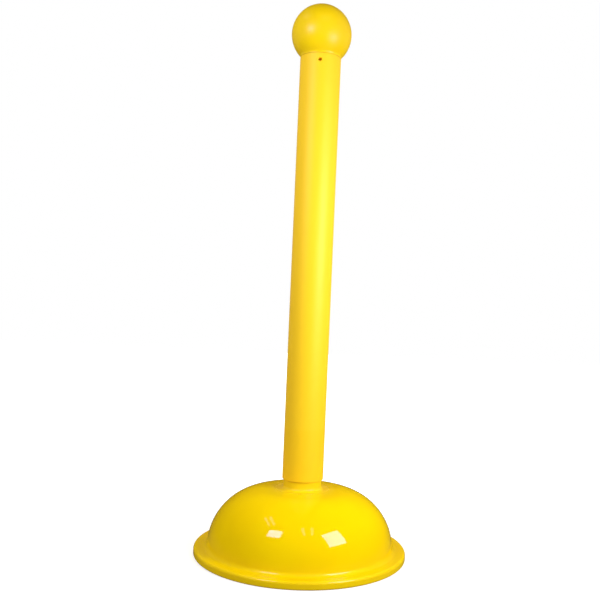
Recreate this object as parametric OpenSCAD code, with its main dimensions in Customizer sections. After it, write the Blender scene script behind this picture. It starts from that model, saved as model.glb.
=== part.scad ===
// Delineator post: a hollow plastic tube on a dome base, with a push-in ball on top.
// Millimetres. +Z is up, the post's axis is the Z axis, and the base stands on z = 0.
// The hook holes face -Y (front) and +Y (back).

/* [Ball top] */
// Radius of the ball
ball_r = 55.9; // [50:0.1:60]
// Radius of the hollow sweep from the ball into its collar
ball_sweep_r = 8; // [6:0.5:14]
// Wall thickness of the moulded ball
ball_wall = 3; // [2:0.5:4]
// Length of the plug that goes down into the tube
plug_len = 33.5; // [25:0.5:45]

/* [Tube] */
// Outside diameter of the tube
tube_od = 76.2; // [70:0.2:80]
// Wall thickness of the tube
tube_wall = 3.2; // [2.4:0.1:4]
// Length of the tube
tube_len = 783.5; // [500:0.5:1000]
// Diameter of the holes that take a chain hook
hook_hole_d = 6.4; // [5:0.2:9]
// Distance of the hook holes below the top of the tube
hook_drop = 12.5; // [10:0.5:18]

/* [Base] */
// Outside diameter of the rim
rim_d = 390; // [380:1:400]
// Height of the flange's upper face above the floor
flange_z = 14; // [13:0.5:15]
// Radius of the dome at its widest, just above the flange
dome_r = 170.9; // [166:0.1:172]
// Height of the dome's crown above the floor
crown_z = 121; // [120:0.5:126]
// Radius of the round shoulder between the crown and the side
shoulder_r = 104.4; // [100:0.2:105]
// Wall thickness of the moulded base
base_wall = 4; // [3:0.5:5]
// Height of the tube's lower end above the floor
seat_z = 137; // [134:0.5:145]
// Height of the spigot that the tube slips over, above the tube's lower end
spigot_len = 94; // [60:1:120]
// Height of the ballast's surface above the floor
ballast_top = 40; // [35:1:60]

/* [Fill plug] */
// Radius of the fill hole in the base's floor
fill_r = 18; // [14:0.5:20]
// Distance of the fill hole from the post's axis
fill_y = 95; // [90:1:110]
// Diameter of the plug's head
head_d = 50; // [46:1:52]

/* [Fits] */
// Radial clearance of the spigot and of the ball's plug inside the tube
slip_gap = 0.1; // [0.05:0.01:0.1]
// Radial clearance of the fill plug in its neck
screw_gap = 0.1; // [0.05:0.01:0.1]

/* [Hidden] */
$fn = 128;

arc_steps = 24;
overcut = 1;

tube_r = tube_od / 2;
bore_r = tube_r - tube_wall;
tube_top = seat_z + tube_len;
tube_foot_round = 1.5;
joint_chamfer = 0.5;
hook_z = tube_top - hook_drop;

// The ball's centre lies where a sweep of ball_sweep_r touches both the ball and the tube's outside.
ball_z = tube_top + sqrt(pow(ball_r + ball_sweep_r, 2) - pow(tube_r + ball_sweep_r, 2));
sweep_angle = atan2(tube_top - ball_z, tube_r + ball_sweep_r);
plug_r = bore_r - slip_gap;
plug_inner_r = plug_r - ball_wall;
plug_lead = 2;
notch_w = 12;
notch_above_hook = 7;

// The crown is one large arc on the axis, tangent to the shoulder arc.
shoulder_x = dome_r - shoulder_r;
shoulder_drop = crown_z - flange_z;
crown_r = (pow(shoulder_x, 2) + pow(shoulder_drop, 2) - pow(shoulder_r, 2)) / (2 * (shoulder_drop - shoulder_r));
crown_centre_z = crown_z - crown_r;
blend_angle = atan2(flange_z - crown_centre_z, shoulder_x);

spigot_r = bore_r - slip_gap;
spigot_wall = 3.5;
spigot_lead = 2.5;
spigot_top = seat_z + spigot_len;
stop_r = bore_r + 0.5;
stop_round = 6;
// Centre of the small hollow round between the spigot's stop band and the crown
stop_round_x = stop_r + stop_round;
stop_round_z = crown_centre_z + sqrt(pow(crown_r + stop_round, 2) - pow(stop_round_x, 2));
crown_start_angle = atan2(stop_round_z - crown_centre_z, stop_round_x);

rim_r = rim_d / 2;
rim_wall = 5;
rim_top_round = 5;
rim_foot_round = 3;
foot_hollow = 8;
// Centre of the hollow round between the dome's side and the flange
foot_hollow_z = flange_z + foot_hollow;
foot_hollow_x = shoulder_x + sqrt(pow(shoulder_r + foot_hollow, 2) - pow(foot_hollow, 2));
foot_hollow_angle = asin(foot_hollow / (shoulder_r + foot_hollow));

cover_top = flange_z - base_wall;
cover_t = 3;
cover_r = rim_r - rim_wall - 0.4;
rib_t = 2.5;
rib_foot_z = 3;
rib_rings = [60, 130];
rib_count = 8;
well_r = 27;
well_wall = 3;
well_roof_z = 11;
neck_top = 24;
neck_wall = 4;

ballast_gap = 0.5;
head_foot_z = 4;
head_t = 5;
gasket_t = well_roof_z - head_foot_z - head_t;
shank_r = fill_r - screw_gap;
shank_top = neck_top + 2;
plug_skin = 2.4;
grip_t = 5;
flute_count = 12;
flute_r = 3;

// Points along an arc about (x, z), from angle a to angle b.
function arc(x, z, r, a, b) =
    [for (i = [0:arc_steps]) let (t = a + (b - a) * i / arc_steps) [x + r * cos(t), z + r * sin(t)]];

module yellow_plastic() {
    color([0.96, 0.84, 0.05]) children();
}

module black_plastic() {
    color([0.10, 0.10, 0.10]) children();
}

// A hollow ball whose collar sits on the tube's end and whose plug goes down inside it.
module ball_top() {
    inner_start = acos(plug_inner_r / (ball_r - ball_wall));
    yellow_plastic()
    difference() {
        rotate_extrude()
        polygon(concat(
            arc(0, ball_z, ball_r, 90, sweep_angle),
            arc(tube_r + ball_sweep_r, tube_top, ball_sweep_r, 180 + sweep_angle, 180),
            [
                [tube_r, tube_top + joint_chamfer / 2],
                [tube_r - joint_chamfer, tube_top],
                [plug_r, tube_top],
                [plug_r, tube_top - plug_len + plug_lead],
                [plug_r - plug_lead / 2, tube_top - plug_len],
                [plug_inner_r, tube_top - plug_len]
            ],
            arc(0, ball_z, ball_r - ball_wall, -inner_start, 90)
        ));
        hook_notches();
    }
}

// Open notches in the plug, which leave room for the hooks behind the tube's wall.
module hook_notches() {
    notch_h = plug_len - hook_drop + notch_above_hook + overcut;
    translate([-notch_w / 2, -tube_r, tube_top - plug_len - overcut])
    cube([notch_w, tube_od, notch_h]);
}

// A straight extruded tube with a rounded foot and a hook hole through each wall.
module post_tube() {
    yellow_plastic()
    difference() {
        rotate_extrude()
        polygon(concat(
            arc(tube_r - tube_foot_round, seat_z + tube_foot_round, tube_foot_round, -90, 0),
            [
                [tube_r, tube_top - joint_chamfer],
                [tube_r - joint_chamfer, tube_top],
                [bore_r, tube_top],
                [bore_r, seat_z]
            ]
        ));
        translate([0, 0, hook_z])
        rotate([90, 0, 0])
        cylinder(d = hook_hole_d, h = tube_od + 2 * overcut, center = true);
    }
}

// The outline of the base's outside, from the spigot's closed top down to the rim's foot.
function base_outside() = concat(
    [
        [0, spigot_top],
        [spigot_r - spigot_lead / 2, spigot_top],
        [spigot_r, spigot_top - spigot_lead],
        [spigot_r, seat_z],
        [stop_r, seat_z]
    ],
    arc(stop_round_x, stop_round_z, stop_round, 180, 180 + crown_start_angle),
    arc(0, crown_centre_z, crown_r, crown_start_angle, blend_angle),
    arc(shoulder_x, flange_z, shoulder_r, blend_angle, foot_hollow_angle),
    arc(foot_hollow_x, foot_hollow_z, foot_hollow, 180 + foot_hollow_angle, 270),
    arc(rim_r - rim_top_round, flange_z - rim_top_round, rim_top_round, 90, 0),
    arc(rim_r - rim_foot_round, rim_foot_round, rim_foot_round, 0, -90)
);

// The outline of the base's inside, from the rim's foot up to the spigot's closed top.
function base_inside() = concat(
    [
        [rim_r - rim_wall, 0],
        [rim_r - rim_wall, cover_top],
        [dome_r - base_wall, cover_top]
    ],
    arc(shoulder_x, flange_z, shoulder_r - base_wall, 0, blend_angle),
    arc(0, crown_centre_z, crown_r - base_wall, blend_angle, spigot_mouth_angle()),
    [
        [spigot_r - spigot_wall, spigot_top - spigot_wall],
        [0, spigot_top - spigot_wall]
    ]
);

// The angle, about the crown's centre, at which the spigot's inside meets the crown's inside.
function spigot_mouth_angle() = acos((spigot_r - spigot_wall) / (crown_r - base_wall));

// The moulded base: spigot, dome, flange and rim in one shell, open below.
module base_shell() {
    yellow_plastic()
    rotate_extrude()
    polygon(concat(base_outside(), base_inside()));
}

// The floor of the base, welded under the flange, with ribs, a well and a neck for the fill plug.
module base_cover() {
    yellow_plastic()
    difference() {
        union() {
            translate([0, 0, cover_top - cover_t])
            cylinder(r = cover_r, h = cover_t);
            cover_ribs();
            translate([0, fill_y, rib_foot_z])
            cylinder(r = well_r + well_wall, h = well_roof_z + well_wall - rib_foot_z);
            translate([0, fill_y, well_roof_z])
            cylinder(r = fill_r + neck_wall, h = neck_top - well_roof_z);
        }
        translate([0, fill_y, 0])
        cylinder(r = well_r, h = well_roof_z);
        translate([0, fill_y, 0])
        cylinder(r = fill_r, h = neck_top + overcut);
    }
}

// Ring ribs and radial ribs under the floor plate.
module cover_ribs() {
    rib_h = cover_top - cover_t - rib_foot_z;
    translate([0, 0, rib_foot_z])
    for (r = rib_rings) {
        difference() {
            cylinder(r = r + rib_t / 2, h = rib_h);
            translate([0, 0, -overcut])
            cylinder(r = r - rib_t / 2, h = rib_h + 2 * overcut);
        }
    }
    for (i = [0:rib_count - 1]) {
        rotate([0, 0, (i + 0.5) * 360 / rib_count])
        translate([rib_rings[0], -rib_t / 2, rib_foot_z])
        cube([cover_r - rib_rings[0] - rib_t, rib_t, rib_h]);
    }
}

// Sand lying on the floor plate, around the neck of the fill hole.
module ballast() {
    ballast_angle = asin((ballast_top - flange_z) / (shoulder_r - base_wall - ballast_gap));
    color([0.72, 0.62, 0.45])
    difference() {
        rotate_extrude()
        polygon(concat(
            [
                [0, cover_top],
                [dome_r - base_wall - ballast_gap, cover_top]
            ],
            arc(shoulder_x, flange_z, shoulder_r - base_wall - ballast_gap, 0, ballast_angle),
            [[0, ballast_top]]
        ));
        translate([0, fill_y, cover_top - overcut])
        cylinder(r = well_r + well_wall + ballast_gap, h = shank_top + ballast_gap + overcut - cover_top);
    }
}

// A hollow screw plug with a fluted head and a bar across it for the fingers.
module fill_plug() {
    black_plastic()
    translate([0, fill_y, 0])
    union() {
        difference() {
            union() {
                translate([0, 0, head_foot_z])
                cylinder(d = head_d, h = head_t);
                translate([0, 0, head_foot_z])
                cylinder(r = shank_r, h = shank_top - head_foot_z);
            }
            translate([0, 0, head_foot_z - overcut])
            cylinder(r = shank_r - plug_skin, h = shank_top - head_foot_z - plug_skin + overcut);
            for (i = [0:flute_count - 1]) {
                rotate([0, 0, i * 360 / flute_count])
                translate([head_d / 2 + flute_r / 3, 0, head_foot_z - overcut])
                cylinder(r = flute_r, h = head_t + 2 * overcut);
            }
        }
        translate([-shank_r + plug_skin / 2, -grip_t / 2, head_foot_z])
        cube([2 * shank_r - plug_skin, grip_t, shank_top - head_foot_z - plug_skin / 2]);
    }
}

// The flat rubber ring between the plug's head and the roof of the well.
module plug_gasket() {
    gasket_r = head_d / 2 - flute_r;
    color([0.05, 0.05, 0.05])
    translate([0, fill_y, head_foot_z + head_t])
    difference() {
        cylinder(r = gasket_r, h = gasket_t);
        translate([0, 0, -overcut])
        cylinder(r = shank_r + screw_gap, h = gasket_t + 2 * overcut);
    }
}

ball_top();
post_tube();
base_shell();
base_cover();
ballast();
fill_plug();
plug_gasket();
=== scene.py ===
# %% [markdown]
# # A plastic delineator post
#
# This lesson builds the looks of a yellow stanchion: a hollow ball on a straight tube, on a glossy dome
# base. The CAD model holds the sizes and the joints. It is loaded first and stays fixed, and every piece
# made here rides on one of its bodies. All lengths are in metres, +Z is up, and the front of the post faces
# -Y.

# %% Load the frame
import math

import bmesh
import bpy
from mathutils import Matrix, Vector


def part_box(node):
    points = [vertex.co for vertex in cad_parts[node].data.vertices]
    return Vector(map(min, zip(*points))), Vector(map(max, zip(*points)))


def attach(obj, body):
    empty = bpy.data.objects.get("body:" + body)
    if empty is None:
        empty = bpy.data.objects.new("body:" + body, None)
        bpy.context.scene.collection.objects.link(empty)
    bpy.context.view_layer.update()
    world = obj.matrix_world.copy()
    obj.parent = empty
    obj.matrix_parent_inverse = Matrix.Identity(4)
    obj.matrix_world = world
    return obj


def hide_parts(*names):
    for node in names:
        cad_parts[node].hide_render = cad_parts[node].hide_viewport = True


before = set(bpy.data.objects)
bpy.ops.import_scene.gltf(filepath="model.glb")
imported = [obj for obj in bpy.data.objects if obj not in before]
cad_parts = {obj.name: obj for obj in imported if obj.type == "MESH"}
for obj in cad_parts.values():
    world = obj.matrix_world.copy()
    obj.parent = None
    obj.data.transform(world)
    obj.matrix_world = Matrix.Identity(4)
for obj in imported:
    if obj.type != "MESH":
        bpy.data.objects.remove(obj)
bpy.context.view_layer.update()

MM = 0.001

# %% [markdown]
# ## The camera
#
# The camera stands about a metre and a half in front of the post, a little below half its height, and looks
# almost level. It is rolled by a few degrees, so the post seems to lean, as in a quick hand-held shot. A
# camera could be aimed with a tracking constraint. Here its three axes are worked out instead, because a
# roll and a pitch together are easier to read as vectors.

# %% Place the camera
CAMERA_SPOT = Vector((0.0319, -1.437, 0.4571))
CAMERA_PITCH = math.radians(0.54)
CAMERA_ROLL = math.radians(2.465)
SENSOR_WIDTH = 36.0
VIEW_LENS = 46.25
FRAME_SHIFT = -0.0457

forward = Vector((0, math.cos(CAMERA_PITCH), math.sin(CAMERA_PITCH)))
level_right = Vector((1, 0, 0))
level_up = level_right.cross(forward)
right = level_right * math.cos(CAMERA_ROLL) + level_up * math.sin(CAMERA_ROLL)
up = level_up * math.cos(CAMERA_ROLL) - level_right * math.sin(CAMERA_ROLL)

camera_data = bpy.data.cameras.new("camera")
camera_data.sensor_width = SENSOR_WIDTH
camera_data.lens = VIEW_LENS
camera_data.shift_x = FRAME_SHIFT
camera = bpy.data.objects.new("camera", camera_data)
bpy.context.collection.objects.link(camera)
turned = Matrix((right, up, -forward)).transposed().to_4x4()
camera.matrix_world = Matrix.Translation(CAMERA_SPOT) @ turned
bpy.context.scene.camera = camera
bpy.context.scene.view_settings.view_transform = "Standard"
print("camera at", tuple(round(value, 3) for value in camera.location))

# %% [markdown]
# ## Sizes from the frame
#
# Positions could be typed in again, but then the looks and the CAD model could drift apart. They are read
# from the boxes of the CAD nodes instead. Only what a box can't tell, such as the radius of a round or the
# thickness of a wall, is named where it is needed, in millimetres like a drawing.

# %% Read the frame
ball_low, ball_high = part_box("ball_top")
tube_low, tube_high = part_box("post_tube")
base_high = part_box("base_shell")[1]

TUBE_R = (tube_high.x - tube_low.x) / 2
SEAT_Z = tube_low.z
TUBE_TOP = tube_high.z
SPIGOT_TOP = base_high.z
RIM_R = base_high.x
print(f"tube: radius {TUBE_R / MM:.1f} mm, from {SEAT_Z / MM:.1f} to {TUBE_TOP / MM:.1f} mm")
print(f"base: rim radius {RIM_R / MM:.1f} mm, top of the spigot at {SPIGOT_TOP / MM:.1f} mm")

# %% [markdown]
# ## Outlines and the lathe
#
# Every yellow part is round, so each is one outline turned about the post's axis, as a mould maker would
# cut it on a lathe. The Screw modifier could do this. Spinning in bmesh is used instead, because the ring
# count and the closed seam are then under control, and the outline may be open at the axis.

# %% Outline helpers
RING = 192
WELD_DISTANCE = 1e-6
TINY_EDGE = 1e-7


def arc(x, z, r, start, end, step=3.0):
    """Points along a round in the (radius, height) plane, from one angle to another, in degrees."""
    count = max(2, math.ceil(abs(end - start) / step))
    angles = [math.radians(start + (end - start) * i / count) for i in range(count + 1)]
    return [(x + r * math.cos(a), z + r * math.sin(a)) for a in angles]


def line(start, end, count):
    """Points that divide a straight stretch, without its two ends."""
    return [tuple(a + (b - a) * i / count for a, b in zip(start, end)) for i in range(1, count)]


def new_piece(name, mesh):
    """An object for a finished mesh, linked to the scene."""
    piece = bpy.data.objects.new(name, mesh)
    bpy.context.collection.objects.link(piece)
    return piece


def lathe(name, outline, closed=True, ring=RING):
    """A solid turned about the Z axis from points (radius, height)."""
    work = bmesh.new()
    points = [work.verts.new((r, 0, z)) for r, z in outline]
    pairs = list(zip(points, points[1:]))
    if closed:
        pairs.append((points[-1], points[0]))
    edges = [work.edges.new(pair) for pair in pairs]
    turn = {"axis": (0, 0, 1), "cent": (0, 0, 0), "angle": math.tau, "steps": ring}
    bmesh.ops.spin(work, geom=points + edges, use_merge=True, **turn)
    bmesh.ops.remove_doubles(work, verts=work.verts, dist=WELD_DISTANCE)
    bmesh.ops.dissolve_degenerate(work, edges=work.edges, dist=TINY_EDGE)
    bmesh.ops.recalc_face_normals(work, faces=work.faces)
    mesh = bpy.data.meshes.new(name)
    work.to_mesh(mesh)
    work.free()
    print(f"{name}: outline of {len(outline)} points, turned in {ring} steps")
    return new_piece(name, mesh)


# %% [markdown]
# ## Cutting and smoothing
#
# Holes and notches could be left out of the mesh by hand, face by face. A Boolean is quicker and exact, and
# works the way a drill goes through the finished tube. The cutter is removed afterwards. Smooth shading
# with sharp edges kept at real corners then gives clean highlights, and weighted normals stop the flat
# faces from bulging beside the small rounds.

# %% Cut and smooth helpers
CORNER_ANGLE = math.radians(32)


def cut(piece, cutter):
    """Takes the cutter's volume out of the piece and deletes the cutter."""
    boolean = piece.modifiers.new("cut", "BOOLEAN")
    boolean.operation = "DIFFERENCE"
    boolean.solver = "EXACT"
    boolean.object = cutter
    graph = bpy.context.evaluated_depsgraph_get()
    mesh = bpy.data.meshes.new_from_object(piece.evaluated_get(graph))
    piece.modifiers.clear()
    old = piece.data
    piece.data = mesh
    bpy.data.meshes.remove(old)
    bpy.data.objects.remove(cutter)


def smooth(piece):
    """Smooth shading that keeps real corners sharp."""
    piece.data.shade_smooth()
    piece.data.set_sharp_from_angle(angle=CORNER_ANGLE)
    weighted = piece.modifiers.new("even_normals", "WEIGHTED_NORMAL")
    weighted.keep_sharp = True


def finish_piece(piece, body, slot, *nodes):
    """Hangs a finished piece on its body and lets it stand for its CAD nodes."""
    smooth(piece)
    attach(piece, body)
    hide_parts(*nodes)
    print(f"{piece.name}: {len(piece.data.polygons)} faces")


# %% [markdown]
# ## The ball top
#
# On the real post this is one hollow moulding: a ball, a swept neck that comes down flush with the tube,
# and a plug below it that goes inside. The collar's lower edge has a small round, which is what draws the
# fine line at the joint. A sphere and a cylinder could be joined, but one turned outline gives the neck its
# sweep and leaves no seam to clean up.

# %% Turn the ball top
BALL_R = 55.9 * MM
BALL_Z = ball_high.z - BALL_R
BALL_WALL = 3 * MM
SWEEP_R = 8 * MM
SWEEP_END = 176
COLLAR_ROUND = 0.9 * MM
TUBE_WALL = 3.2 * MM
BORE_R = TUBE_R - TUBE_WALL
SLIP_GAP = 0.1 * MM
PLUG_R = BORE_R - SLIP_GAP
PLUG_LEN = TUBE_TOP - ball_low.z
PLUG_LEAD = 2 * MM
plug_end = TUBE_TOP - PLUG_LEN
plug_inner = PLUG_R - BALL_WALL
sweep_angle = math.degrees(math.atan2(TUBE_TOP - BALL_Z, TUBE_R + SWEEP_R))
inner_start = math.degrees(math.acos(plug_inner / (BALL_R - BALL_WALL)))

ball_outline = (
    arc(0, BALL_Z, BALL_R, 90, sweep_angle, step=2)
    + arc(TUBE_R + SWEEP_R, TUBE_TOP, SWEEP_R, 180 + sweep_angle, SWEEP_END, step=5)
    + arc(TUBE_R - COLLAR_ROUND, TUBE_TOP + COLLAR_ROUND, COLLAR_ROUND, 0, -90, step=15)
    + [(PLUG_R, TUBE_TOP), (PLUG_R, plug_end + PLUG_LEAD)]
    + [(PLUG_R - PLUG_LEAD / 2, plug_end), (plug_inner, plug_end)]
    + arc(0, BALL_Z, BALL_R - BALL_WALL, -inner_start, 90, step=6)
)
ball = lathe("ball_top_moulding", ball_outline, closed=False)

# %% [markdown]
# ## The notches in the plug
#
# Two notches in the plug leave room behind the tube's wall for the barb of a chain hook. They could be cut
# one by one. A single block right through the plug cuts both, so they are sure to face each other.

# %% Notch the plug
HOOK_Z = TUBE_TOP - 12.5 * MM
NOTCH_W = 12 * MM
NOTCH_ABOVE_HOOK = 7 * MM


def block(name, low, high):
    """A plain box used as a cutter."""
    work = bmesh.new()
    bmesh.ops.create_cube(work, size=1)
    for vert in work.verts:
        vert.co = Vector([(a + b) / 2 + (b - a) * c for a, b, c in zip(low, high, vert.co)])
    mesh = bpy.data.meshes.new(name)
    work.to_mesh(mesh)
    work.free()
    return new_piece(name, mesh)


notch_low = (-NOTCH_W / 2, -TUBE_R, ball_low.z - MM)
notch_high = (NOTCH_W / 2, TUBE_R, HOOK_Z + NOTCH_ABOVE_HOOK)
cut(ball, block("notch", notch_low, notch_high))
finish_piece(ball, "ball", "ball_plastic", "ball_top")

# %% [markdown]
# ## The tube
#
# A straight extruded tube, sawn to length. Its foot has a rounded outer edge and its top only a broken
# edge. A cylinder with a Bevel modifier could do, but both ends would then get the same round, so this is a
# turned outline too. Its long side is divided, which keeps the faces from getting too narrow.

# %% Turn the tube
FOOT_ROUND = 1.5 * MM
TOP_ROUND = 0.5 * MM
SLICES = 24
HOLE_BAND = 9 * MM

tube_outline = (
    arc(TUBE_R - FOOT_ROUND, SEAT_Z + FOOT_ROUND, FOOT_ROUND, -90, 0, step=10)
    + line((TUBE_R, SEAT_Z + FOOT_ROUND), (TUBE_R, HOOK_Z - HOLE_BAND), SLICES)
    + [(TUBE_R, HOOK_Z - HOLE_BAND), (TUBE_R, HOOK_Z + HOLE_BAND)]
    + arc(TUBE_R - TOP_ROUND, TUBE_TOP - TOP_ROUND, TOP_ROUND, 0, 90, step=15)
    + [(BORE_R, TUBE_TOP), (BORE_R, HOOK_Z + HOLE_BAND), (BORE_R, HOOK_Z - HOLE_BAND)]
    + [(BORE_R, SEAT_Z)]
)
tube = lathe("post_tube_extrusion", tube_outline)

# %% [markdown]
# ## The hook holes
#
# Two small holes for chain hooks go through the wall below the ball. A plain cylinder would cut a
# razor-sharp edge. The drill is a turned shape that widens at both ends instead, so each hole gets the
# small countersink that makes its edge catch the light.

# %% Drill the hook holes
HOOK_R = 3.2 * MM
DRILL_RING = 48
COUNTERSINK = 0.5 * MM
PAST_WALL = COUNTERSINK * 2


def drill(name, reach):
    """A long thin cutter along Y, with a flare of 45 degrees where it leaves the tube's outside."""
    flare = TUBE_R - COUNTERSINK
    outline = [(0, -reach), (HOOK_R + COUNTERSINK + PAST_WALL, -reach), (HOOK_R, -flare)]
    outline += [(r, -z) for r, z in reversed(outline)]
    cutter = lathe(name, outline, closed=False, ring=DRILL_RING)
    cutter.data.transform(Matrix.Translation((0, 0, HOOK_Z)) @ Matrix.Rotation(math.pi / 2, 4, "X"))
    return cutter


cut(tube, drill("drill", TUBE_R + PAST_WALL))
finish_piece(tube, "post", "tube_plastic", "post_tube")

# %% [markdown]
# ## The base
#
# The base is one injection moulding. From the top down it is the spigot inside the tube, a slightly wider
# band that the tube's end stands on, a nearly flat crown, a round shoulder, a hollow at the foot and a
# stiff flange with a turned-down rim. A subdivision surface could be pushed into this shape, but it would
# not hold the radii of a drawing. Arcs and lines do.

# %% Sizes of the base
BASE_WALL = 4 * MM
FLANGE_Z = 14 * MM
DOME_R = 170.9 * MM
CROWN_Z = 121 * MM
SHOULDER_R = 104.4 * MM
FOOT_HOLLOW = 8 * MM
RIM_WALL = 5 * MM
RIM_TOP_ROUND = 5 * MM
RIM_TOP_START = 84
RIM_FOOT_ROUND = 3 * MM
FLANGE_FLAT = 3 * MM
FLANGE_SLOPE = 1 * MM
FLANGE_STEP = 0.5 * MM
SPIGOT_WALL = 3.5 * MM
SPIGOT_LEAD = 2.5 * MM
STOP_BAND = 0.5 * MM
STOP_ROUND = 6 * MM
STOP_EDGE = 0.4 * MM
print(f"dome radius {DOME_R / MM:.1f} mm, crown at {CROWN_Z / MM:.1f} mm, flange at {FLANGE_Z / MM:.1f} mm")

# %% [markdown]
# ## Where the arcs meet
#
# Crown and shoulder could be fitted by eye, but a kink of a degree already breaks a reflection on a glossy
# dome. Two arcs run on smoothly when their centres and the point where they meet lie on one line. That rule
# gives the crown's radius, and the same rule places the round under the stop and the hollow at the foot.

# %% Centres and angles
shoulder_x = DOME_R - SHOULDER_R
crown_rise = CROWN_Z - FLANGE_Z
crown_r = (shoulder_x**2 + crown_rise**2 - SHOULDER_R**2) / (2 * (crown_rise - SHOULDER_R))
crown_z0 = CROWN_Z - crown_r
blend_angle = math.degrees(math.atan2(FLANGE_Z - crown_z0, shoulder_x))

spigot_r = BORE_R - SLIP_GAP
stop_r = BORE_R + STOP_BAND
stop_x = stop_r + STOP_ROUND
stop_z = crown_z0 + math.sqrt((crown_r + STOP_ROUND) ** 2 - stop_x**2)
stop_angle = math.degrees(math.atan2(stop_z - crown_z0, stop_x))

hollow_x = shoulder_x + math.sqrt((SHOULDER_R + FOOT_HOLLOW) ** 2 - FOOT_HOLLOW**2)
hollow_angle = math.degrees(math.asin(FOOT_HOLLOW / (SHOULDER_R + FOOT_HOLLOW)))
flange_under = FLANGE_Z - BASE_WALL
mouth_angle = math.degrees(math.acos((spigot_r - SPIGOT_WALL) / (crown_r - BASE_WALL)))
print(f"crown radius {crown_r / MM:.1f} mm, meets the shoulder at {blend_angle:.1f} degrees")

# %% [markdown]
# ## The outline of the base
#
# The outside is drawn from the spigot's top down to the rim, and the inside back up from there. A Solidify
# modifier could give the wall its thickness. Two outlines are used, because rim, dome and spigot each have
# a thickness of their own.

# %% Turn the base
outside = (
    [(0, SPIGOT_TOP), (spigot_r - SPIGOT_LEAD / 2, SPIGOT_TOP), (spigot_r, SPIGOT_TOP - SPIGOT_LEAD)]
    + [(spigot_r, SEAT_Z)]
    + arc(stop_r - STOP_EDGE, SEAT_Z - STOP_EDGE, STOP_EDGE, 90, 0, step=30)
    + arc(stop_x, stop_z, STOP_ROUND, 180, 180 + stop_angle, step=6)
    + arc(0, crown_z0, crown_r, stop_angle, blend_angle, step=0.5)[1:]
    + arc(shoulder_x, FLANGE_Z, SHOULDER_R, blend_angle, hollow_angle, step=1.5)[1:]
    + arc(hollow_x, FLANGE_Z + FOOT_HOLLOW, FOOT_HOLLOW, 180 + hollow_angle, 270, step=6)[1:]
    + [(hollow_x + FLANGE_FLAT, FLANGE_Z)]
    + [(hollow_x + FLANGE_FLAT + FLANGE_SLOPE, FLANGE_Z - FLANGE_STEP)]
    + arc(RIM_R - RIM_TOP_ROUND, FLANGE_Z - RIM_TOP_ROUND, RIM_TOP_ROUND, RIM_TOP_START, 0, step=6)
    + arc(RIM_R - RIM_FOOT_ROUND, RIM_FOOT_ROUND, RIM_FOOT_ROUND, 0, -90, step=8)
)
inside = (
    [(RIM_R - RIM_WALL, 0), (RIM_R - RIM_WALL, flange_under), (DOME_R - BASE_WALL, flange_under)]
    + arc(shoulder_x, FLANGE_Z, SHOULDER_R - BASE_WALL, 0, blend_angle, step=5)
    + arc(0, crown_z0, crown_r - BASE_WALL, blend_angle, mouth_angle, step=2)[1:]
    + [(spigot_r - SPIGOT_WALL, SPIGOT_TOP - SPIGOT_WALL), (0, SPIGOT_TOP - SPIGOT_WALL)]
)
BASE_RING = 256
base = lathe("base_moulding", outside + inside, closed=False, ring=BASE_RING)
finish_piece(base, "base", "base_plastic", "base_shell")

# %% [markdown]
# ## Shader sums as Python
#
# A finish could be wired up box by box, but it is easier to read as a formula. A Wire wraps one output
# socket, and adding or multiplying wires adds Math nodes. The reflected operators let a plain number come
# first.

# %% Wire
class Wire:
    """One output of a node, which can be used in sums like a number."""

    def __init__(self, finish, socket):
        self.finish = finish
        self.socket = socket

    def out(self, name):
        """Another output of the same node."""
        return Wire(self.finish, self.socket.node.outputs[name])

    def math(self, operation, *values, clamp=False):
        settings = {"operation": operation, "use_clamp": clamp}
        return self.finish.node("ShaderNodeMath", settings, dict(enumerate(values)))

    def __add__(self, other):
        return self.math("ADD", self, other)

    def __radd__(self, other):
        return self.math("ADD", other, self)

    def __sub__(self, other):
        return self.math("SUBTRACT", self, other)

    def __rsub__(self, other):
        return self.math("SUBTRACT", other, self)

    def __mul__(self, other):
        return self.math("MULTIPLY", self, other)

    def __rmul__(self, other):
        return self.math("MULTIPLY", other, self)

    def __truediv__(self, other):
        return self.math("DIVIDE", self, other)

    def __rtruediv__(self, other):
        return self.math("DIVIDE", other, self)

    def positive(self):
        """The value, or 0 where it is negative."""
        return self.math("MAXIMUM", self, 0.0)

    def limited(self):
        """The value kept between 0 and 1."""
        return self.math("ADD", self, 0.0, clamp=True)

    def between(self, low, high):
        """0 below low, 1 above high, and a smooth step from one to the other."""
        sockets = {"Value": self, "From Min": low, "From Max": high}
        return self.finish.node("ShaderNodeMapRange", {"interpolation_type": "SMOOTHSTEP"}, sockets)


print("a Wire takes + - * and /, with a number on either side")

# %% [markdown]
# ## One finish
#
# A Finish is one material or world. Its node method makes any node: type first, then settings, then the
# values or links of its sockets. Every other method is a short name for a node that is used often.

# %% Finish
MIX_SHARE, MIX_FIRST, MIX_SECOND = 0, 6, 7


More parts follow.
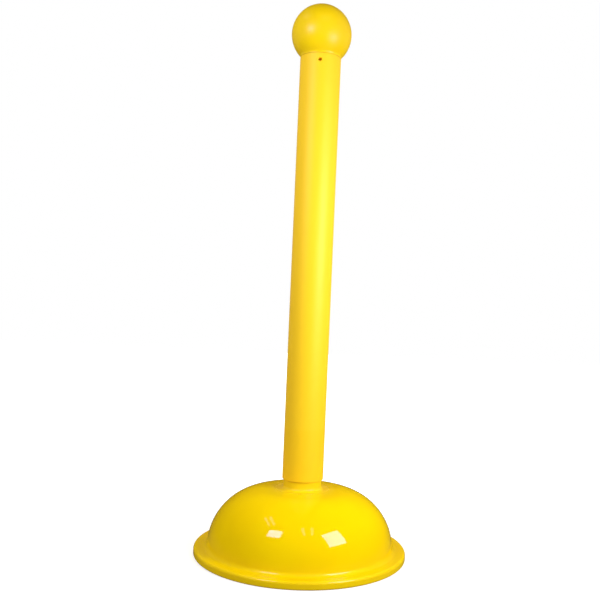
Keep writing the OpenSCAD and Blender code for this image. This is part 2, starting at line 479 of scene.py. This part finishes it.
class Finish:
    """A material or world being wired up."""

    def __init__(self, owner):
        owner.use_nodes = True
        self.owner = owner
        self.tree = owner.node_tree
        self.tree.nodes.clear()

    def node(self, kind, settings=None, sockets=None):
        """A node of any type. Settings are set first, then its sockets are filled or linked."""
        made = self.tree.nodes.new(kind)
        for key, value in (settings or {}).items():
            setattr(made, key, value)
        for key, value in (sockets or {}).items():
            if isinstance(value, Wire):
                self.tree.links.new(value.socket, made.inputs[key])
            else:
                made.inputs[key].default_value = value
        outputs = [socket for socket in made.outputs if socket.enabled]
        return Wire(self, outputs[0]) if outputs else None

    def noise(self, where, scale, detail=3.0, roughness=0.5):
        """Cloudy variation between about 0.3 and 0.7."""
        sockets = {"Vector": where, "Scale": scale, "Detail": detail, "Roughness": roughness}
        return self.node("ShaderNodeTexNoise", None, sockets)

    def mixed(self, share, first, second):
        """Two colours mixed by a share from 0 to 1."""
        sockets = {MIX_SHARE: share, MIX_FIRST: first, MIX_SECOND: second}
        return self.node("ShaderNodeMix", {"data_type": "RGBA"}, sockets)

    def either(self, share, first, second):
        """Two shaders mixed by a share from 0 to 1."""
        return self.node("ShaderNodeMixShader", None, {0: share, 1: first, 2: second})

    def bump(self, height, strength, distance):
        """A normal bent by a height."""
        sockets = {"Height": height, "Strength": strength, "Distance": distance}
        return self.node("ShaderNodeBump", None, sockets)

    def stretched(self, scale):
        """Object coordinates, stretched by a scale along each axis."""
        where = self.node("ShaderNodeTexCoord").out("Object")
        return self.node("ShaderNodeMapping", None, {"Vector": where, "Scale": scale})

    def tell(self):
        """Prints how many nodes the finish has by now."""
        print(f"{self.owner.name}: {len(self.tree.nodes)} nodes")


def material(name, **sockets):
    """A new surface finish, with a Principled shader that holds the given constants."""
    constants = {key.replace("_", " "): value for key, value in sockets.items()}
    finish = Finish(bpy.data.materials.new(name))
    finish.shader = finish.node("ShaderNodeBsdfPrincipled", None, constants)
    finish.node("ShaderNodeOutputMaterial", None, {"Surface": finish.shader})
    return finish


def feed(finish, name, wire):
    """Links a wire to one of the Principled shader's sockets."""
    finish.tree.links.new(wire.socket, finish.shader.socket.node.inputs[name])


# %% [markdown]
# ## Yellow plastics
#
# All three yellow parts are the same pigment in different processes. The injection-moulded base has a
# polished mould and mirror gloss, the ball is semi-gloss, and the extruded tube is satin and a little
# paler. A painted image could carry the variation, but noise has no seams and stays sharp close up. One
# function makes the base and the ball, with cloudy pigment, moulding waviness and fine rub marks at their
# own scales. Lamps mirrored in this plastic look cream and not white, so the shader's reflections are
# tinted.

# %% Yellow plastic
YELLOW = (0.90, 0.665, 0.001, 1.0)
DEEP_YELLOW = (0.87, 0.62, 0.001, 1.0)
CREAM = (1.0, 0.4, 0.8, 1.0)
CLOUD_SCALE = 9.0
CLOUD_DULL = 0.25
RUB_SCALE = 60.0
RUB_DULL = 0.05
RIPPLE_SCALE = 26.0


def clouds(finish, where, scale):
    """Large soft patches, from 0 to 1."""
    return finish.noise(where, scale).between(0.3, 0.7)


def rub_marks(finish, where):
    """Thin broken lines where the part has been handled, as added roughness."""
    lines = finish.noise(where, RUB_SCALE, detail=2.0, roughness=0.6)
    return lines.between(0.60, 0.66) * RUB_DULL


def yellow_plastic(name, gloss, wave, shine):
    """A yellow plastic with a base roughness, a waviness depth in metres and an index of refraction."""
    finish = material(name, IOR=shine, Specular_Tint=CREAM)
    where = finish.stretched((1, 1, 1))
    cloud = clouds(finish, where, CLOUD_SCALE)
    finish.colour = finish.mixed(cloud, YELLOW, DEEP_YELLOW)
    marks = rub_marks(finish, finish.stretched((1, 1, 6)))
    finish.roughness = gloss + cloud * (gloss * CLOUD_DULL) + marks
    ripple = finish.noise(where, RIPPLE_SCALE, detail=1.5, roughness=0.4)
    feed(finish, "Normal", finish.bump(ripple, 1.0, wave))
    finish.tell()
    return finish


base_finish = yellow_plastic("base_gloss_yellow", gloss=0.010, wave=0.01 * MM, shine=1.5)
ball_finish = yellow_plastic("ball_semi_gloss_yellow", gloss=0.31, wave=0.03 * MM, shine=1.44)
base.data.materials.append(base_finish.owner)
ball.data.materials.append(ball_finish.owner)

# %% [markdown]
# ## Seams
#
# A fine dark line is painted into each joint. It is partly grime and partly painted shade for the groove
# between the parts. It could be painted into an image, but each joint is a ring at a known height, so the
# line follows the part's own height and radius, worked out from its coordinates.

# %% Seam of the ball
# Colour of the joint lines: grime and painted shade
JOINT_DIRT_AND_SHADE = (0.50, 0.29, 0.004, 1.0)
SEAM = 0.5 * MM
SOFT_EDGE = 0.5 * MM
BALL_JOINT_DIRT_AND_SHADE = 0.45
SEAM_DIRT_AND_SHADE = 0.3
SEAM_DULL = 0.3


def height_and_radius(finish):
    """Wires for a point's height on the part and its distance from the part's axis."""
    where = finish.node("ShaderNodeTexCoord").out("Object")
    parts = finish.node("ShaderNodeSeparateXYZ", None, {"Vector": where})
    x, y = parts.out("X"), parts.out("Y")
    squared = x * x + y * y
    return parts.out("Z"), squared.math("SQRT", squared)


def near(wire, value, half_width):
    """1 within half_width of a value, with a short soft edge."""
    distance = wire.math("ABSOLUTE", wire - value)
    return 1.0 - distance.between(half_width, half_width + SOFT_EDGE)


ball_height, ball_radius = height_and_radius(ball_finish)
ball_seam = near(ball_height, TUBE_TOP, SEAM) * ball_radius.between(PLUG_R, PLUG_R + MM)
# Grime and painted shade: the ball's colour is darkened in a thin ring at its joint with the tube
feed(ball_finish, "Base Color", ball_finish.mixed(ball_seam * BALL_JOINT_DIRT_AND_SHADE, ball_finish.colour, JOINT_DIRT_AND_SHADE))
feed(ball_finish, "Roughness", ball_finish.roughness + ball_seam * SEAM_DULL)
ball_finish.tell()

# %% [markdown]
# ## Polish of the base
#
# The mould can't be polished as well close round the spigot, so the crown is duller there. The flange is
# duller too, because shoes and trolleys scuff it. Three materials could be used, but their edges would
# show. One roughness that changes slowly with radius and height has none.

# %% Seam and polish of the base
CROWN_DULL = 0.32
CROWN_DULL_WIDTH = 32 * MM
FLANGE_DULL = 0.16
FLANGE_DULL_RISE = 14 * MM

base_height, base_radius = height_and_radius(base_finish)
base_seam = near(base_height, SEAT_Z, SEAM)
by_spigot = 1.0 - base_radius.between(stop_x, stop_x + CROWN_DULL_WIDTH)
on_flange = 1.0 - base_height.between(FLANGE_Z, FLANGE_Z + FLANGE_DULL_RISE)
base_dull = base_finish.roughness + by_spigot * CROWN_DULL + on_flange * FLANGE_DULL
# Grime and painted shade: the base's colour is darkened in a thin ring where the tube stands on it
feed(base_finish, "Base Color", base_finish.mixed(base_seam * SEAM_DIRT_AND_SHADE, base_finish.colour, JOINT_DIRT_AND_SHADE))
feed(base_finish, "Roughness", base_dull)
base_finish.tell()

# %% [markdown]
# ## Light through the wall
#
# Yellow plastic lets a little light through, so a look into a hook hole meets a dim amber glow and not a
# black spot. Real subsurface scattering would need many samples for a few millimetres of wall. A faint
# emission on the inner walls, found by their radius, gives the same look.

# %% Inner glow
AMBER = (0.55, 0.38, 0.008, 1.0)
DARK = (0.0, 0.0, 0.0, 1.0)
WALL_EDGE = 0.2 * MM
PLUG_MARGIN = 0.5 * MM
BORE_MARGIN = 0.4 * MM


def within(radius, wall):
    """1 on everything nearer the axis than a wall."""
    return 1.0 - radius.between(wall, wall + WALL_EDGE)


def glow_inside(finish, inner):
    """A dim amber glow where a mask is 1."""
    feed(finish, "Emission Color", finish.mixed(inner, DARK, AMBER))
    finish.shader.socket.node.inputs["Emission Strength"].default_value = 1.0


in_plug = within(ball_radius, plug_inner + PLUG_MARGIN) * within(ball_height, TUBE_TOP)
glow_inside(ball_finish, in_plug)
ball_finish.tell()

# %% [markdown]
# ## The tube's plastic
#
# An extruded tube shows faint lines along its length from the die, and its wall lets some light through.
# Where the spigot stands inside it, the spigot shades the wall, and that shade is painted into the colour as
# a deeper yellow. The tube's own coordinates could mark that zone, but when the tube is lifted the zone has
# to stay with the spigot. So the painted shade follows the height above the floor.

# %% Tube plastic
PALE_YELLOW = (0.96, 0.635, 0.006, 1.0)
SPIGOT_SHADE_YELLOW = (0.96, 0.62, 0.001, 1.0)
BACKED_FADE = 4 * MM
BACKED_OVERLAP = 2 * MM
TUBE_CLOUD_SCALE = 8.0
TUBE_CLOUD_SHARE = 0.25
TUBE_DULL = 0.46
DIE_SCALE = 420.0
DIE_STRETCH = 0.01

tube_finish = material("tube_satin_yellow", IOR=1.44)
along_tube = tube_finish.stretched((1, 1, DIE_STRETCH))
die_lines = tube_finish.noise(along_tube, DIE_SCALE, detail=2.0, roughness=0.6)
place = tube_finish.node("ShaderNodeNewGeometry")
floor_height = tube_finish.node("ShaderNodeSeparateXYZ", None, {"Vector": place}).out("Z")
above_spigot = floor_height.between(SPIGOT_TOP - BACKED_OVERLAP, SPIGOT_TOP + BACKED_FADE)
cloud = clouds(tube_finish, tube_finish.stretched((1, 1, 0.3)), TUBE_CLOUD_SCALE)
# Painted shade: below the spigot's top the tube gets a deeper yellow, where the spigot shades the wall
colour_with_spigot_shade = tube_finish.mixed(above_spigot, SPIGOT_SHADE_YELLOW, PALE_YELLOW)
colour_with_spigot_shade = tube_finish.mixed(cloud * TUBE_CLOUD_SHARE, colour_with_spigot_shade, DEEP_YELLOW)
tube_height, tube_radius = height_and_radius(tube_finish)
tube_seam = near(tube_height, TUBE_TOP, SEAM) + near(tube_height, SEAT_Z, SEAM)
# Grime and painted shade: the tube's colour is darkened in thin rings at both of its joints
feed(tube_finish, "Base Color", tube_finish.mixed(tube_seam.limited() * SEAM_DIRT_AND_SHADE, colour_with_spigot_shade, JOINT_DIRT_AND_SHADE))
feed(tube_finish, "Roughness", TUBE_DULL + die_lines * 0.08 + cloud * 0.04)
feed(tube_finish, "Normal", tube_finish.bump(die_lines, 0.6, 0.02 * MM))
glow_inside(tube_finish, within(tube_radius, BORE_R + BORE_MARGIN))
tube.data.materials.append(tube_finish.owner)
tube_finish.tell()

# %% [markdown]
# ## Hidden parts
#
# The floor plate, the fill plug, its gasket and the sand could be built anew like the rest. Their CAD shape
# is good enough for parts that are seen only from below or not at all, so they only get honest finishes.

# %% Finishes of the hidden parts
SAND = (0.55, 0.42, 0.24, 1)
DARK_SAND = (0.30, 0.21, 0.11, 1)
PLUG_GREY = (0.035, 0.035, 0.035, 1)
PLUG_BLACK = (0.015, 0.015, 0.015, 1)
RUBBER_GREY = (0.03, 0.03, 0.03, 1)
RUBBER_BLACK = (0.012, 0.012, 0.012, 1)


def grainy(name, light, dark, scale, roughness, depth):
    """A matt surface with grains of two colours."""
    finish = material(name)
    where = finish.stretched((1, 1, 1))
    grain = finish.noise(where, scale, detail=4.0, roughness=0.6).between(0.35, 0.65)
    feed(finish, "Base Color", finish.mixed(grain, dark, light))
    feed(finish, "Roughness", roughness + grain * 0.1)
    feed(finish, "Normal", finish.bump(grain, 0.5, depth))
    return finish.owner


def dress(node, owner):
    """Gives a CAD node its finish."""
    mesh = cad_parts[node].data
    mesh.materials.clear()
    mesh.materials.append(owner)
    print(f"{node}: {owner.name}")


cover_yellow = grainy("cover_yellow", YELLOW, DEEP_YELLOW, scale=900.0, roughness=0.42, depth=0.04 * MM)
sand = grainy("sand", SAND, DARK_SAND, scale=700.0, roughness=0.85, depth=0.6 * MM)
plug_black = grainy("plug_black", PLUG_GREY, PLUG_BLACK, scale=800.0, roughness=0.45, depth=0.04 * MM)
gasket_black = grainy("gasket_black", RUBBER_GREY, RUBBER_BLACK, scale=600.0, roughness=0.8, depth=0.03 * MM)
dress("base_cover", cover_yellow)
dress("ballast", sand)
dress("fill_plug", plug_black)
dress("plug_gasket", gasket_black)

# %% [markdown]
# ## Light
#
# Two nearly square softboxes stand in front of the post, one on the right above its middle and one higher
# on the left. On the glossy dome they show as two bright windows. A picture of a studio wrapped round the
# scene could light it too, but a panel can be moved until its window lies where it should. The lights don't
# show to the camera, only on the object.

# %% Softboxes
def panel(name, centre, across, upward, radiance):
    """A flat light of a known brightness, from its centre and the vectors along its two sides."""
    across, upward = Vector(across), Vector(upward)
    data = bpy.data.lights.new(name, "AREA")
    data.shape = "RECTANGLE"
    data.size, data.size_y = across.length, upward.length
    data.energy = radiance * across.length * upward.length * math.pi
    away = across.cross(upward).normalized()
    side = upward.cross(away).normalized()
    light = bpy.data.objects.new(name, data)
    turned = Matrix((side, upward.normalized(), away)).transposed().to_4x4()
    light.matrix_world = Matrix.Translation(centre) @ turned
    light.visible_camera = False
    bpy.context.collection.objects.link(light)
    print(f"{name}: {data.size:.2f} by {data.size_y:.2f} m, {data.energy:.2f} W")
    return light


panel(
    "softbox_right",
    centre=(0.585, -0.495, 0.662),
    across=(0.226, 0.281, 0.033),
    upward=(-0.131, 0.101, 0.378),
    radiance=12.8,
)
panel(
    "softbox_left",
    centre=(-0.585, -0.718, 1.051),
    across=(0.298, -0.175, 0.046),
    upward=(0.080, 0.177, 0.238),
    radiance=15.6,
)

# %% [markdown]
# ## Ceiling tubes
#
# Two pairs of tubes in the ceiling draw faint stripes above and between the windows. Brighter ones could
# help to light the post, but they would flatten it. These are for the gloss only, so the matt colour
# doesn't see them.

# %% Ceiling tubes
CEILING = 2.2
TUBE_LIGHT_LEN = 0.75
TUBE_LIGHT_W = 0.12


def ceiling_pair(name, x, y, spread, lean, radiance):
    """Two parallel ceiling tubes that run front to back, leaning to one side."""
    along = Vector((-lean, 1, 0)).normalized() * TUBE_LIGHT_LEN
    across = along.cross(Vector((0, 0, 1))).normalized()
    for side in (-1, 1):
        spot = Vector((x, y, CEILING)) + across * side * spread
        light = panel(f"{name}_{side}", spot, across * TUBE_LIGHT_W, along, radiance)
        light.visible_diffuse = False


ceiling_pair("ceiling_left", x=-1.11, y=-0.22, spread=0.115, lean=0.0, radiance=2.4)
ceiling_pair("ceiling_front", x=0.35, y=-1.18, spread=0.19, lean=0.2, radiance=2.4)

# %% [markdown]
# ## Surroundings
#
# The post stands before a brightly lit white sweep, in a studio whose walls are otherwise bare. The sweep
# wraps soft light round the sides of the post. A real shoot would hang black cloth so that the gloss stays
# clean; here the Light Path node does that job, and gives reflections a darker room than the one that
# lights the matt colour.

# %% World
SWEEP_GLOW = 3.2
SWEEP_TINT = (1, 0.85, 0.68, 1)
CLOTH_GLOW = 0.03
CLOTH_TINT = (1.0, 0.8, 0.6, 1)
WHITE = (1, 1, 1, 1)
BOTH_SIDES = 0.26
MORE_RIGHT = 0.12
BOTH_ENDS = 0.22
MORE_BEHIND = 0.78
FROM_BELOW = 0.4

world = bpy.data.worlds.new("studio")
bpy.context.scene.world = world
world.cycles.sampling_method = "NONE"
room = Finish(world)
path = room.node("ShaderNodeLightPath")
towards = room.node("ShaderNodeTexCoord").out("Generated")
parts = room.node("ShaderNodeSeparateXYZ", None, {"Vector": towards})
across, behind, above = parts.out("X"), parts.out("Y"), parts.out("Z")
right_side, sweep_side, below = across.positive(), behind.positive(), (0.0 - above).positive()


def glow_of(colour, strength):
    """An even glow of one colour."""
    return room.node("ShaderNodeBackground", None, {"Color": colour, "Strength": strength})


share = across * across * BOTH_SIDES + right_side * right_side * MORE_RIGHT
share = share + behind * behind * BOTH_ENDS + sweep_side * sweep_side * MORE_BEHIND
share = (share + below * below * FROM_BELOW).limited()
lit = room.either(share, glow_of(DARK, 0.0), glow_of(SWEEP_TINT, SWEEP_GLOW))
unseen = room.either(path.out("Is Glossy Ray"), lit, glow_of(CLOTH_TINT, CLOTH_GLOW))
seen = room.either(path.out("Is Camera Ray"), unseen, glow_of(WHITE, 1.0))
room.node("ShaderNodeOutputWorld", None, {"Surface": seen})
room.tell()

# %% [markdown]
# ## Floor
#
# The floor is a plain pale sheet, a hair below the rim so that the two never share a plane. A real sweep
# curves up into the wall. Here a flat sheet does, because its paint can hide the far edge.

# %% Lay the floor
FLOOR_SIZE = 12.0
FLOOR_DROP = 0.2 * MM

floor_mesh = bmesh.new()
bmesh.ops.create_grid(floor_mesh, x_segments=1, y_segments=1, size=FLOOR_SIZE / 2)
mesh = bpy.data.meshes.new("floor")
floor_mesh.to_mesh(mesh)
floor_mesh.free()
floor = new_piece("floor", mesh)
floor.location.z = -FLOOR_DROP
print(f"floor: {FLOOR_SIZE:.0f} m square")

# %% [markdown]
# ## Paint of the floor
#
# A matt floor alone would leave a horizon. So the paint glows white further out, and runs into the
# background, and only a faint shadow close under the rim is left. The floor could be hidden from the rays
# that light the post, but it has to give the rim some bounce, so the Light Path node gives those rays a
# darker paint. From below, and right under the base, the floor is clear, so the fill plug and the ribs of
# the floor plate can be looked at as well.

# %% Paint the floor
SEEN_GREY = 0.85
BOUNCE_GREY = 0.28
MIRRORED_GREY = 0.05
FLOOR_GLOW = 1.7
NEAR_GLOW = 0.38
FADE_FROM = 0.22
FADE_TO = 0.60

paint = Finish(bpy.data.materials.new("floor_pale"))
path = paint.node("ShaderNodeLightPath")


def matt(grey):
    """A matt surface of one grey."""
    return paint.node("ShaderNodeBsdfDiffuse", None, {"Color": (grey, grey, grey, 1)})


floor_radius = height_and_radius(paint)[1]
glow = paint.node("ShaderNodeEmission", None, {"Color": WHITE, "Strength": FLOOR_GLOW})
glow_share = floor_radius.between(FADE_FROM, FADE_TO) * (1 - NEAR_GLOW) + NEAR_GLOW
shown = paint.either(glow_share, matt(SEEN_GREY), glow)
bounce = paint.either(path.out("Is Glossy Ray"), matt(BOUNCE_GREY), matt(MIRRORED_GREY))
topside = paint.either(path.out("Is Camera Ray"), bounce, shown)
from_under = paint.node("ShaderNodeNewGeometry").out("Backfacing")
under_base = within(floor_radius, RIM_R - RIM_FOOT_ROUND)
window = from_under.math("MAXIMUM", from_under, under_base)
surface = paint.either(window, topside, paint.node("ShaderNodeBsdfTransparent"))
paint.node("ShaderNodeOutputMaterial", None, {"Surface": surface})
floor.data.materials.append(paint.owner)
paint.tell()
